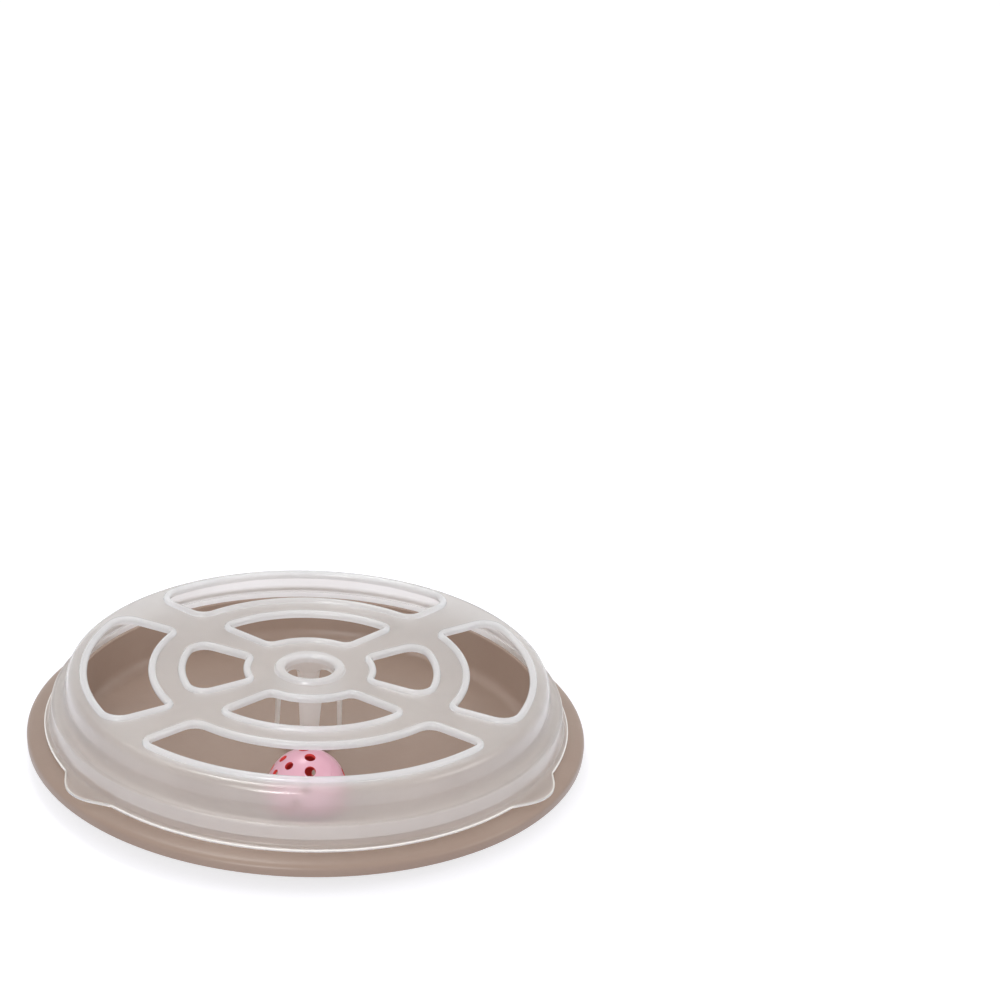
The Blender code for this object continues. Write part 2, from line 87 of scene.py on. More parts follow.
def camera_frame(yaw, down, roll):
    """The camera's right, up and back directions in its own upright frame."""
    yaw, down, roll = radians(yaw), radians(down), radians(roll)
    forward = Vector((sin(yaw) * cos(down), cos(yaw) * cos(down), -sin(down)))
    right = Vector((cos(yaw), -sin(yaw), 0.0))
    below = forward.cross(right)
    rolled = right * cos(roll) + below * sin(roll)
    return rolled, -(below * cos(roll) - right * sin(roll)), -forward


lens = bpy.data.cameras.new("camera")
lens.lens, lens.sensor_width = LENS, SENSOR
camera = bpy.data.objects.new("camera", lens)
bpy.context.scene.collection.objects.link(camera)
aim = Matrix(camera_frame(LOOK_YAW, LOOK_DOWN, LOOK_ROLL)).transposed().to_4x4()
rise = radians(CAMERA_RISE)
back, up = CAMERA_AWAY * cos(rise), CAMERA_AWAY * sin(rise) + AIM_HEIGHT
stand = Matrix.Translation((0.0, -back, up))
camera.matrix_world = Matrix.Rotation(radians(CAMERA_TURN), 4, "Z") @ stand @ aim
bpy.context.scene.camera = camera
print("camera at", [round(c, 3) for c in camera.matrix_world.translation])

# %% [markdown]
# ## Turned shapes
# Nearly every piece here comes out of a round mould, so its section is drawn once and turned about an
# axis. Mould makers round each corner of a section, so the helper takes corner points with a fillet
# radius and puts a short curve at each.

# %% Round the corners of a section


def rounded(corners, steps=4):
    """Points along a section given as (r, z, fillet) corners. Ends keep their corner."""
    points = [Vector(corners[0][:2])]
    for before, here, after in zip(corners, corners[1:], corners[2:]):
        a, b, c = Vector(before[:2]), Vector(here[:2]), Vector(after[:2])
        if here[2] <= 0.0:
            points.append(b)
            continue
        to_a, to_c = (a - b).normalized(), (c - b).normalized()
        half = to_a.angle(to_c) / 2
        room = 0.49 * min((a - b).length, (c - b).length)
        back = min(here[2] / max(1e-6, tan(half)), room)
        start, end = b + to_a * back, b + to_c * back
        for i in range(steps + 1):
            t = i / steps
            points.append(start * (1 - t) ** 2 + b * 2 * t * (1 - t) + end * t * t)
    points.append(Vector(corners[-1][:2]))
    return points


# %% Follow a free curve


def curve(a, b, c, d, steps=8):
    """Plain corners along a cubic curve from a to d, steered by b and c."""
    found = []
    for i in range(steps + 1):
        t = i / steps
        share = ((1 - t) ** 3, 3 * t * (1 - t) ** 2, 3 * t * t * (1 - t), t**3)
        r, z = (sum(w * p[k] for w, p in zip(share, (a, b, c, d))) for k in (0, 1))
        found.append((r, z, 0.0))
    return found


def in_mm(corners):
    """Corners written in millimetres, turned into metres."""
    return [tuple(value * MM for value in corner) for corner in corners]


# %% Turn a section about Z
TINY = 1e-7


def turned(name, section, steps, closed=True):
    """A smooth solid of revolution whose section runs out along the top and back underneath."""
    bm = bmesh.new()
    rings = []
    for r, z in section:
        if r < TINY:
            rings.append([bm.verts.new((0.0, 0.0, z))])
            continue
        turns = [2 * pi * i / steps for i in range(steps)]
        rings.append([bm.verts.new((r * cos(t), r * sin(t), z)) for t in turns])
    pairs = list(zip(rings, rings[1:])) + ([(rings[-1], rings[0])] if closed else [])
    for upper, lower in pairs:
        m, n = len(upper), len(lower)
        for i in range(steps):
            j = (i + 1) % steps
            ring = [upper[i % m], upper[j % m], lower[j % n], lower[i % n]]
            unique = list(dict.fromkeys(ring))
            if len(unique) > 2:
                bm.faces.new(unique[::-1])
    return object_from(name, bm)


# %% Wrap a mesh as an object
SHARP = radians(32.0)


def object_from(name, bm):
    """Closes small gaps in the mesh, points its faces outward and shades it smooth."""
    mesh = bpy.data.meshes.new(name)
    bmesh.ops.remove_doubles(bm, verts=bm.verts, dist=TINY)
    bmesh.ops.recalc_face_normals(bm, faces=bm.faces)
    bm.to_mesh(mesh)
    bm.free()
    mesh.shade_smooth()
    mesh.set_sharp_from_angle(angle=SHARP)
    obj = bpy.data.objects.new(name, mesh)
    bpy.context.scene.collection.objects.link(obj)
    return obj


# %% [markdown]
# Windows, arches and drilled holes are cut from the turned shapes, and beads, tabs and the lip's
# rolled edge are joined to them. A Boolean modifier does both. Its result is baked into the mesh at
# once, so that the tools can be removed again.

# %% Cut and join


def combine(obj, operation, tool):
    """Applies one Boolean and removes the tool."""
    step = obj.modifiers.new("step", "BOOLEAN")
    step.operation, step.solver, step.object = operation, "EXACT", tool
    graph = bpy.context.evaluated_depsgraph_get()
    mesh = bpy.data.meshes.new_from_object(obj.evaluated_get(graph))
    obj.modifiers.clear()
    obj.data = mesh
    mesh.shade_smooth()
    mesh.set_sharp_from_angle(angle=SHARP)
    bpy.data.objects.remove(tool, do_unlink=True)
    return obj


def merged(name, tools):
    """Several closed meshes that don't touch, as one tool."""
    bm = bmesh.new()
    for tool in tools:
        start = len(bm.verts)
        bm.from_mesh(tool.data)
        bm.verts.ensure_lookup_table()
        bmesh.ops.transform(bm, matrix=tool.matrix_basis, verts=bm.verts[start:])
        bpy.data.objects.remove(tool, do_unlink=True)
    return object_from(name, bm)


# %% [markdown]
# Most tools start as a flat outline. An outline raised into a slab makes a window's cutter, an arch,
# a slot or a tab, and a tube that follows an outline makes a bead. A curve with a round bevel could
# make the bead too, but it would hang as low as it stands high, and these beads hang lower.

# %% Raise an outline into a slab


def slab(name, outline, low, high):
    """A flat outline of (x, y) points, filled and raised from low to high."""
    bm = bmesh.new()
    face = bm.faces.new([bm.verts.new((x, y, low)) for x, y in outline])
    raised = bmesh.ops.extrude_face_region(bm, geom=[face])
    top = [v for v in raised["geom"] if isinstance(v, bmesh.types.BMVert)]
    bmesh.ops.translate(bm, vec=(0.0, 0.0, high - low), verts=top)
    return object_from(name, bm)


# %% Sweep a bead along an outline


def bead_along(name, outline, z, radius, drop, sides=12):
    """A closed tube that reaches radius up and drop down. Each ring stands square to the outline."""
    bm = bmesh.new()
    rings, count = [], len(outline)
    for i in range(count):
        a, b, c = Vector(outline[i - 1]), Vector(outline[i]), Vector(outline[(i + 1) % count])
        along = ((b - a).normalized() + (c - b).normalized()).normalized()
        across = Vector((along.y, -along.x))
        turns = [2 * pi * k / sides for k in range(sides)]
        tall = [(radius if t < pi else drop) * sin(t) for t in turns]
        flat = [b + across * radius * cos(t) for t in turns]
        rings.append([bm.verts.new((p.x, p.y, z + up)) for p, up in zip(flat, tall)])
    for i in range(count):
        here, after = rings[i], rings[(i + 1) % count]
        for k in range(sides):
            m = (k + 1) % sides
            bm.faces.new((here[k], here[m], after[m], after[k]))
    return object_from(name, bm)


# %% [markdown]
# ## Surface groups
# All the plastics came out of polished moulds, so they share three faint effects: a fine skin left by
# the tool, slow clouds from the flow of the melt, and small rubbed marks from handling. Each effect is
# a node group that puts out values only, and every material uses it with its own amounts.

# %% Start a node group


def effect(name, inputs, outputs):
    """An empty shader group with float inputs, and outputs given as (name, type)."""
    group = bpy.data.node_groups.new(name, "ShaderNodeTree")
    for label, value in inputs:
        socket = group.interface.new_socket(label, in_out="INPUT", socket_type="NodeSocketFloat")
        socket.default_value = value
    for label, kind in outputs:
        group.interface.new_socket(label, in_out="OUTPUT", socket_type=f"NodeSocket{kind}")
    return group, group.nodes.new("NodeGroupInput"), group.nodes.new("NodeGroupOutput")


def noise(tree, scale, detail, rough):
    """A noise texture on the object's own coordinates."""
    spot = tree.nodes.new("ShaderNodeTexCoord")
    node = tree.nodes.new("ShaderNodeTexNoise")
    node.inputs["Scale"].default_value = scale
    node.inputs["Detail"].default_value = detail
    node.inputs["Roughness"].default_value = rough
    tree.links.new(spot.outputs["Object"], node.inputs["Vector"])
    return node


def remap(tree, source, low, high, to_low=0.0, to_high=1.0):
    """A smooth step of the source from one range to another."""
    node = tree.nodes.new("ShaderNodeMapRange")
    node.interpolation_type = "SMOOTHSTEP"
    labels = ("From Min", "From Max", "To Min", "To Max")
    for label, value in zip(labels, (low, high, to_low, to_high)):
        node.inputs[label].default_value = value
    tree.links.new(source, node.inputs["Value"])
    return node.outputs["Result"]


def combined(tree, operation, first, second):
    """One math node on two sockets."""
    node = tree.nodes.new("ShaderNodeMath")
    node.operation = operation
    tree.links.new(first, node.inputs[0])
    tree.links.new(second, node.inputs[1])
    return node.outputs["Value"]


# %% The mould's fine skin
skin, skin_in, skin_out = effect("mould_skin", [("Depth", 1.0)], [("Height", "Float")])
ripple = noise(skin, scale=420.0, detail=3.0, rough=0.55)
height = combined(skin, "MULTIPLY", ripple.outputs["Fac"], skin_in.outputs["Depth"])
skin.links.new(height, skin_out.inputs["Height"])
print("group", skin.name)

# %% Clouds in the melt
clouds, clouds_in, clouds_out = effect("melt_clouds", [("Amount", 1.0)], [("Cloud", "Float")])
drift = noise(clouds, scale=17.0, detail=4.0, rough=0.6)
veil = remap(clouds, drift.outputs["Fac"], 0.34, 0.68)
cloud = combined(clouds, "MULTIPLY", veil, clouds_in.outputs["Amount"])
clouds.links.new(cloud, clouds_out.inputs["Cloud"])
print("group", clouds.name)

# %% Rubbed marks
rubs, rubs_in, rubs_out = effect("rubbed_marks", [("Amount", 1.0)], [("Mark", "Float")])
streak = noise(rubs, scale=60.0, detail=6.0, rough=0.75)
patch = noise(rubs, scale=9.0, detail=2.0, rough=0.5)
thin = remap(rubs, streak.outputs["Fac"], 0.60, 0.72)
where = remap(rubs, patch.outputs["Fac"], 0.48, 0.66)
both = combined(rubs, "MULTIPLY", thin, where)
mark = combined(rubs, "MULTIPLY", both, rubs_in.outputs["Amount"])
rubs.links.new(mark, rubs_out.inputs["Mark"])
print("group", rubs.name)

# %% [markdown]
# A finish is then one Principled shader. Its colour swings between two close tones with the clouds,
# its roughness rises where the surface is rubbed, and the skin feeds a bump node.

# %% Mix a moulded finish


def srgb(red, green, blue):
    """Colour as a picture shows it (0 to 255), turned into the linear values a shader takes."""

    def line(c):
        c /= 255.0
        return c / 12.92 if c <= 0.04045 else ((c + 0.055) / 1.055) ** 2.4

    return (line(red), line(green), line(blue), 1.0)


def moulded(name, tone, cloud_tone, rough, rubbed_rough, depth, marks=1.0):
    """A finish of two tones and two roughnesses, with a skin of the given depth."""
    made = bpy.data.materials.new(name)
    made.use_nodes = True
    tree = made.node_tree
    shader = tree.nodes["Principled BSDF"]
    parts = {}
    effects = ((clouds, "Amount", 1.0), (rubs, "Amount", marks), (skin, "Depth", 1.0))
    for group, label, value in effects:
        node = tree.nodes.new("ShaderNodeGroup")
        node.node_tree = group
        node.inputs[label].default_value = value
        parts[group.name] = node
    colour = tree.nodes.new("ShaderNodeMix")
    colour.data_type = "RGBA"
    colour.inputs["A"].default_value, colour.inputs["B"].default_value = tone, cloud_tone
    tree.links.new(parts["melt_clouds"].outputs["Cloud"], colour.inputs["Factor"])
    tree.links.new(colour.outputs["Result"], shader.inputs["Base Color"])
    finish = remap(tree, parts["rubbed_marks"].outputs["Mark"], 0.0, 1.0, rough, rubbed_rough)
    tree.links.new(finish, shader.inputs["Roughness"])
    bump = tree.nodes.new("ShaderNodeBump")
    bump.inputs["Strength"].default_value = 1.0
    bump.inputs["Distance"].default_value = depth
    tree.links.new(parts["mould_skin"].outputs["Height"], bump.inputs["Height"])
    tree.links.new(bump.outputs["Normal"], shader.inputs["Normal"])
    return made


# %% Finishes of the opaque parts
TAUPE, TAUPE_CLOUD = srgb(160, 139, 126), srgb(155, 133, 120)
PINK, PINK_CLOUD = srgb(228, 176, 192), srgb(223, 165, 184)
# The second pink is painted shade, for the inside of the ball and its hole walls.
PINK_INSIDE_SHADE, PINK_INSIDE_SHADE_CLOUD = srgb(238, 88, 82), srgb(228, 70, 78)
PAD_GREY, PAD_CLOUD = srgb(196, 193, 188), srgb(186, 183, 178)
# Each finish takes two tones, its roughness where clean and where rubbed, and its skin's depth.
pan_finish = moulded("taupe_plastic", TAUPE, TAUPE_CLOUD, 0.36, 0.48, 0.04 * MM)
ball_finish = moulded("pink_plastic", PINK, PINK_CLOUD, 0.28, 0.40, 0.02 * MM)
# The inside of the ball and its hole walls take this deeper pink as painted shade.
ball_inside_shade = moulded("pink_plastic_painted_shade", PINK_INSIDE_SHADE, PINK_INSIDE_SHADE_CLOUD, 0.42, 0.50, 0.02 * MM)
pad_finish = moulded("pad_rubber", PAD_GREY, PAD_CLOUD, 0.62, 0.70, 0.08 * MM)
print("finishes:", pan_finish.name, ball_finish.name, pad_finish.name)

# %% [markdown]
# Frosted polypropylene is a rough, milky glass: what lies close behind it shows as a soft tint, and
# what lies further off melts into a glow. Most of the finish is therefore rough transmission, and the
# rest a pale body colour. A path tracer finds little light through such a wall, so shadow rays and rays
# that left a matt surface meet a thinner plastic, through Light Path and Alpha. The beads hold more of
# the milk because they are thick, and they, the collar and the upright edges are also painted lighter.
# The skirt and the hub's legs get a lighter copy, painted lighter to stand in for light on them. The lip
# and the tabs hold less milk. The rolled edge is nearly solid white, a whiter edge with a painted
# highlight along it, and the hollow below the wall has no gloss. One recipe makes all six.

# %% The frosted finishes


def frosted(name, tone, cloud_tone, clear, rough, thinned, coat=0.8):
    """clear is the share of transmission, and thinned what is left for rays that carry light."""
    made = moulded(name, tone, cloud_tone, rough, rough + 0.12, depth=0.03 * MM, marks=0.8)
    tree = made.node_tree
    shader = tree.nodes["Principled BSDF"]
    shader.inputs["IOR"].default_value = 1.25
    shader.inputs["Transmission Weight"].default_value = clear
    shader.inputs["Coat Weight"].default_value = coat
    shader.inputs["Coat Roughness"].default_value = 0.14
    path = tree.nodes.new("ShaderNodeLightPath")
    unseen = combined(tree, "MAXIMUM", path.outputs["Is Shadow Ray"], path.outputs["Is Diffuse Ray"])
    tree.links.new(remap(tree, unseen, 0.0, 1.0, 1.0, thinned), shader.inputs["Alpha"])
    return made


CLEAR_TONES = srgb(240, 238, 237), srgb(247, 246, 245)
# The skirt's and the edge's tones are paler as painted light, and the milky ones partly so.
SKIRT_PAINTED_LIGHT_TONES = srgb(243, 241, 240), srgb(248, 247, 246)
MILKY_AND_PAINTED_LIGHT_TONES = srgb(244, 246, 249), srgb(249, 250, 252)
THIN_TONES = srgb(243, 240, 238), srgb(248, 246, 244)
EDGE_PAINTED_HIGHLIGHT_TONES = srgb(252, 250, 247), srgb(253, 252, 250)
# Each has two tones, its share of transmission, its roughness, and what is left of it for rays that
# carry light.
FROSTED = (
    frosted("frosted_plastic", *CLEAR_TONES, 0.84, 0.45, 0.08),
    # A lighter copy of the frosted plastic, painted lighter to stand in for light on the skirt and the
    # legs.
    frosted("skirt_plastic_painted_light", *SKIRT_PAINTED_LIGHT_TONES, 0.68, 0.45, 0.12),
    # Milkier because the beads are thick, and painted lighter as well where light falls on beads, collar
    # and edges.
    frosted("milky_plastic_and_painted_light", *MILKY_AND_PAINTED_LIGHT_TONES, 0.57, 0.35, 0.15),
    frosted("thin_plastic", *THIN_TONES, 0.94, 0.35, 0.06),
    frosted("matt_plastic", *CLEAR_TONES, 0.84, 0.50, 0.08, coat=0.0),
    # Nearly solid white: a whiter rolled edge with a painted highlight along the lip.
    frosted("edge_plastic_painted_highlight", *EDGE_PAINTED_HIGHLIGHT_TONES, 0.10, 0.35, 0.20),
)
CLEAR, SKIRT_PAINTED_LIGHT, MILKY_AND_PAINTED_LIGHT, THIN, MATT, EDGE_PAINTED_HIGHLIGHT = range(6)
print("finishes:", [f.name for f in FROSTED])

# %% [markdown]
# The bell is thin plated brass and the pellet in it is steel. Both are metals, so their colour sits in
# the reflection, and fine noise in the roughness keeps them from looking like a mirror.

# %% Finishes of the metal parts


def metal(name, tone, dull_tone, rough, dull_rough):
    """A moulded finish made metallic, with a finer skin."""
    made = moulded(name, tone, dull_tone, rough, dull_rough, 0.01 * MM)
    made.node_tree.nodes["Principled BSDF"].inputs["Metallic"].default_value = 1.0
    return made


BRASS, DULL_BRASS = srgb(226, 190, 122), srgb(206, 166, 98)
STEEL, DULL_STEEL = srgb(196, 196, 200), srgb(176, 176, 182)
bell_finish = metal("bell_brass", BRASS, DULL_BRASS, 0.22, 0.40)
pellet_finish = metal("pellet_steel", STEEL, DULL_STEEL, 0.28, 0.42)
print("finishes:", bell_finish.name, pellet_finish.name)


# %% Give a piece its finish and its body, and hide the frame parts it stands for


def fit(obj, finish, body, slot, *nodes):
    """The finish goes in the first material slot. Further ones, if set before, stay."""
    if obj.data.materials:
        obj.data.materials[0] = finish
    else:
        obj.data.materials.append(finish)
    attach(obj, body)
    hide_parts(*nodes)
    print(f"{obj.name}: {len(obj.data.polygons)} faces on {body}")
    return obj


# %% [markdown]
# ## The pan
# The pan is one thin wall. Its floor turns up into a standing wall that closes the track, comes down
# again outside it to a ledge for the dome, and ends in a wide rim that rolls over and hangs clear of
# the ground. Drawing top and underside as one closed section gives the wall its thickness everywhere.

# %% Section of the pan
LEDGE_END, RIM_ROOT, RIM_LOW = 136.0, 140.2, 10.1
rim_r = RIM_R / MM
boss = [(0.0, 6.5, 0.0), (15.4, 6.5, 0.6), (15.4, 3.7, 0.4)]
standing_wall = [(123.76, 3.7, 7.0), (125.96, 28.0, 0.7), (128.0, 28.0, 0.7), (128.2, 20.2, 0.6)]
ledge = [(133.8, 20.2, 0.3), (133.8, 18.57, 0.2), (LEDGE_END, 18.4, 0.3), (LEDGE_END + 0.4, 17.6, 0.3)]
rim_top = curve((RIM_ROOT, 17.1), (RIM_ROOT + 4.9, 16.4), (rim_r, 15.9), (rim_r, 13.4))
rim_edge = [(rim_r - 0.2, RIM_LOW, 0.5), (rim_r - 1.9, RIM_LOW, 0.5)]
in_r = rim_r - 2.0
rim_under = curve((in_r, RIM_LOW + 1.0), (in_r, 14.6), (141.5, 15.1), (LEDGE_END, 15.4), 6)
underside = [(131.8, 18.2, 0.6), (127.0, 18.2, 0.6), (125.85, 1.7, 3.4), (0.0, 1.7, 0.0)]
pan_corners = boss + standing_wall + ledge + rim_top + rim_edge + rim_under + underside
pan_section = rounded(in_mm(pan_corners))
print(len(pan_section), "points in the pan's section")

# %% Turn the pan and sink the seats for the pads
pan = turned("pan_shell", pan_section, 192, closed=False)
PAD_RING, PAD_R, SEAT_PLAY = 104.0 * MM, 8.0 * MM, 0.3 * MM
seat_r, seat_deep = PAD_R + SEAT_PLAY, 0.6 * MM
pad_turns = [radians(a) for a in (45, 135, 225, 315)]
pad_spots = [(PAD_RING * cos(a), PAD_RING * sin(a)) for a in pad_turns]
seats = []
for i, (x, y) in enumerate(pad_spots):
    turns = [2 * pi * k / 48 for k in range(48)]
    ring = [(x + seat_r * cos(t), y + seat_r * sin(t)) for t in turns]
    seats.append(slab(f"seat_{i}", ring, PAN_UNDER - 1 * MM, PAN_UNDER + seat_deep))
combine(pan, "DIFFERENCE", merged("pad_seats", seats))
fit(pan, pan_finish, "pan", "tray", "base_tray")

# %% [markdown]
# The pads are soft discs let into shallow seats under the floor, with a rounded lower edge. They hide
# under the pan, but they are what keeps the toy from sliding.

# %% The four pads
pad_disc = in_mm([(0.0, 2.0, 0.0), (PAD_R / MM, 2.0, 0.2), (PAD_R / MM, 0.0, 0.5), (0.0, 0.0, 0.0)])
for i, (x, y) in enumerate(pad_spots):
    pad = turned(f"pad_{i + 1}", rounded(pad_disc), 64, closed=False)
    pad.location = (x, y, 0.0)
    fit(pad, pad_finish, "pan", "pad", f"foot_pad_{i + 1}")

# %% [markdown]
# ## The dome
# The dome is the showpiece. Its wall rolls over a tight shoulder, runs down beside the track, flares
# out over the pan's standing wall, and drops as a short skirt to a thin lip on the ledge. In the middle
# the same wall turns up into a collar and down into a hub tube, so all of it comes from one section.

# %% Keep the finishes through the Booleans


def frosted_faces(obj, index):
    """All frosted finishes as material slots, with every face set to one of them."""
    for finish in FROSTED:
        obj.data.materials.append(finish)
    for face in obj.data.polygons:
        face.material_index = index
    return obj


# %% Section of the dome


def ledge_height(r):
    """How high the sloping ledge of the pan lies at a radius."""
    return LEDGE_Z - LEDGE_FALL * (r - SEAT_R)


collar = [(15.3, 30.0, 0.0), (15.1, 37.0, 1.5), (13.0, 44.0, 1.5), (12.8, 48.7, 2.4), (18.0, 48.8, 1.1)]
plate_edge = [(18.6, 46.8, 0.9), (126.35, 46.8, 5.0)]
cove = curve((127.4, 37.1), (128.0, 33.2), (129.0, 31.6), (132.8, 31.1))
skirt = [(134.58, 31.05, 1.9), (135.3, 24.0, 0.4), (135.75, 20.9, 0.9)]
lip = [(138.2, 19.45, 0.3), (138.1, 18.53, 0.2), (134.1, 18.84, 0.2), (133.2, 29.75, 1.3)]
cove_inside = curve((131.5, 29.8), (127.8, 30.0), (126.8, 32.0), (125.9, 37.1))
plate_inside = [(124.6, 45.2, 3.5), (17.5, 45.2, 1.2)]
tube_foot = [(18.1, 4.0, 0.4), (15.7, 4.0, 0.4)]
outer_side = collar + plate_edge + cove + skirt + lip
dome_corners = in_mm(outer_side + cove_inside + plate_inside + tube_foot)
dome_section = rounded([*dome_corners, dome_corners[0]], 5)[:-1]
dome = turned("dome_shell", dome_section, 192)
frosted_faces(dome, CLEAR)
print(len(dome_section), "points in the dome's section")

# %% [markdown]
# The plate has an inner and an outer ring of windows. The ones at the front and back are wide, the
# ones at the sides narrow, and the spokes between them all lie on the same four radii. Each outline
# is two arcs about the hub joined by straight sides, with a fillet in every corner.

# %% Outline of a window


def window_outline(r0, r1, centre, half_in, half_out, fillet_in, fillet_out):
    """The outline along the middle of a window's bead, as (x, y) points. Half angles in degrees."""
    ends = []
    for r, half, side in ((r0, half_in, -1), (r1, half_out, 1)):
        turn = radians(half) + BEAD_R / r
        ends.append(Vector((cos(turn), sin(turn))) * (r + side * BEAD_R))
    along = (ends[1] - ends[0]).normalized()
    inward = Vector((along.y, -along.x))

    def fillet_centre(radius, offset):
        start = ends[0] + inward * offset
        b = start.dot(along)
        return start + along * (-b + sqrt(b * b - start.dot(start) + radius * radius))

    inner_r, outer_r = r0 - BEAD_R, r1 + BEAD_R
    f0, f1 = fillet_in + BEAD_R, fillet_out + BEAD_R
    near, far = fillet_centre(inner_r + f0, f0), fillet_centre(outer_r - f1, f1)
    side, low, high = atan2(-inward.y, -inward.x), atan2(near.y, near.x), atan2(far.y, far.x)

    def swept(middle, radius, a, b):
        count = max(6, round(abs(b - a) * radius / (3.0 * MM)))
        turns = [a + (b - a) * i / count for i in range(count + 1)]
        return [middle + Vector((cos(t), sin(t))) * radius for t in turns]

    hub = Vector((0.0, 0.0))
    half = swept(hub, outer_r, 0.0, high) + swept(far, f1, high, side)[1:]
    half += swept(near, f0, side, low + pi) + swept(hub, inner_r, low, 0.0)[1:]
    loop = half[:-1] + [Vector((p.x, -p.y)) for p in reversed(half[1:])]
    return [tuple(Matrix.Rotation(radians(centre), 2) @ p) for p in loop]


# %% Lay out the eight windows
# Each row has two radii, the middle's direction, half angles inside and outside, and two fillets.
WINDOWS = {
    "inner_front": (35.0, 65.0, -90, 36.0, 43.0, 4.6, 3.5),
    "outer_front": (84.7, 116.0, -90, 44.0, 46.0, 7.0, 4.6),
    "inner_back": (35.0, 65.0, 90, 35.0, 41.5, 4.6, 3.5),
    "outer_back": (84.7, 116.0, 90, 42.0, 43.5, 7.0, 10.0),
    "inner_left": (35.0, 65.0, 180, 21.0, 25.5, 3.5, 7.0),
    "outer_left": (84.5, 116.0, 180, 30.0, 30.0, 3.5, 8.1),
    "inner_right": (35.0, 65.0, 0, 21.0, 25.5, 3.5, 7.0),
    "outer_right": (84.5, 116.0, 0, 30.0, 30.0, 3.5, 8.1),
}
outlines = {}
for name, (r0, r1, centre, half_in, half_out, fillet_in, fillet_out) in WINDOWS.items():
    fillets = fillet_in * MM, fillet_out * MM
    outlines[name] = window_outline(r0 * MM, r1 * MM, centre, half_in, half_out, *fillets)
print({name: len(points) for name, points in outlines.items()})

# %% [markdown]
# Cutting the holes along the middle of the beads hides each cut edge inside a bead, so the join has no
# sliver faces. The beads are separate tubes that the union then makes one with the plate.

# %% Cut the windows and add their beads
low, high = PLATE_UNDER - 4 * MM, PLATE_TOP + 4 * MM
holes = [slab(f"hole_{n}", o, low, high) for n, o in outlines.items()]
# The cut faces and the beads take the milkier finish, which is partly painted light.
combine(dome, "DIFFERENCE", frosted_faces(merged("window_holes", holes), MILKY_AND_PAINTED_LIGHT))
beads = [bead_along(f"bead_{n}", o, BEAD_Z, BEAD_R, BEAD_DROP) for n, o in outlines.items()]
combine(dome, "UNION", frosted_faces(merged("window_beads", beads), MILKY_AND_PAINTED_LIGHT))
print("dome faces:", len(dome.data.polygons))

# %% [markdown]
# The hub tube reaches down round the boss in the pan. Two slots with arched tops are cut right across
# it, under the spokes, so it stands on four legs that part like the ribs of a small vault.

# %% Open the arches of the hub
ARCH_W, ARCH_FOOT_W = 7.6 * MM, 10.2 * MM
ARCH_TOP, ARCH_RISE, ARCH_REACH = 41.0 * MM, 5.3 * MM, 26.0 * MM
arch = [(-ARCH_FOOT_W, PAN_UNDER), (ARCH_FOOT_W, PAN_UNDER)]
for i in range(25):
    t = pi * i / 24
    arch.append((ARCH_W * cos(t), ARCH_TOP + ARCH_RISE * (sin(t) - 1)))
for turn in (45, 135):
    # The arch's cut faces take the milkier finish, which is partly painted light.
    tool = frosted_faces(slab(f"arch_{turn}", arch, -ARCH_REACH, ARCH_REACH), MILKY_AND_PAINTED_LIGHT)
    upright = Matrix.Rotation(radians(90), 4, "X")
    tool.matrix_basis = Matrix.Rotation(radians(turn), 4, "Z") @ upright
    bpy.context.view_layer.update()
    combine(dome, "DIFFERENCE", tool)
print("dome faces with arches:", len(dome.data.polygons))

# %% [markdown]
# Four thumb tabs grow out of the lip in line with the spokes. Each has a round tip and soft roots, and
# is thin enough to bend a little as the dome is pulled off the pan. One line runs along the lip and
# round all four tabs, and a fine bead along it makes the rolled edge.

# %% The lift tabs
TAB_TURNS = (35, 145, 215, 325)
TAB_REACH, TAB_HALF, TAB_T = 7.9 * MM, radians(9.2), 1.2 * MM
TAB_ROOT, TAB_LIFT = LIP_R - 1.4 * MM, 0.4 * MM
# A larger crown flattens the tip, and a larger flare softens the roots.
TAB_CROWN, TAB_FLARE = 2.1, 1.6
LIP_STEP = radians(2.0)


def tab_edge(turn, count=30):
    """Radius and angle of points round a tab, from one root to the other."""
    found = []
    for i in range(count + 1):
        t = 2 * i / count - 1
        r = LIP_R + TAB_REACH * (1 - abs(t) ** TAB_CROWN) ** TAB_FLARE
        found.append((r, radians(turn) + TAB_HALF * t))
    return found


def tab_outline(edge):
    """The tab's outline as (x, y) points, with its root inside the lip."""
    first, last = edge[0][1], edge[-1][1]
    root = [(TAB_ROOT, first + (last - first) * i / 8) for i in range(9)]
    return [(r * cos(a), r * sin(a)) for r, a in root + edge[-2:0:-1]]


tabs, lip_line = [], []
tab_low = ledge_height(LIP_R) + TAB_LIFT
for turn, after in zip(TAB_TURNS, (*TAB_TURNS[1:], TAB_TURNS[0] + 360)):
    edge = tab_edge(turn)
    tabs.append(slab(f"tab_{turn}", tab_outline(edge), tab_low, tab_low + TAB_T))
    a, b = edge[-1][1], radians(after) - TAB_HALF
    count = round((b - a) / LIP_STEP)
    lip_line += edge + [(LIP_R, a + (b - a) * i / count) for i in range(1, count)]
combine(dome, "UNION", frosted_faces(merged("lift_tabs", tabs), THIN))
print(len(lip_line), "points along the lip")

# %% Roll the edge of the lip
ROLL_R, ROLL_DROP, ROLL_LIFT = 0.6 * MM, 0.7 * MM, 1.05 * MM
roll = [((r - ROLL_R) * cos(a), (r - ROLL_R) * sin(a)) for r, a in lip_line]
rolled = bead_along("lip_roll", roll, ledge_height(LIP_R) + ROLL_LIFT, ROLL_R, ROLL_DROP, 10)
# The rolled edge is painted nearly white, a painted highlight along the lip.
combine(dome, "UNION", frosted_faces(rolled, EDGE_PAINTED_HIGHLIGHT))

# %% [markdown]
# The last faces get their finish by where they lie: the collar and the tube's legs, the skirt, the
# hollow under the wall, and the thin lip.

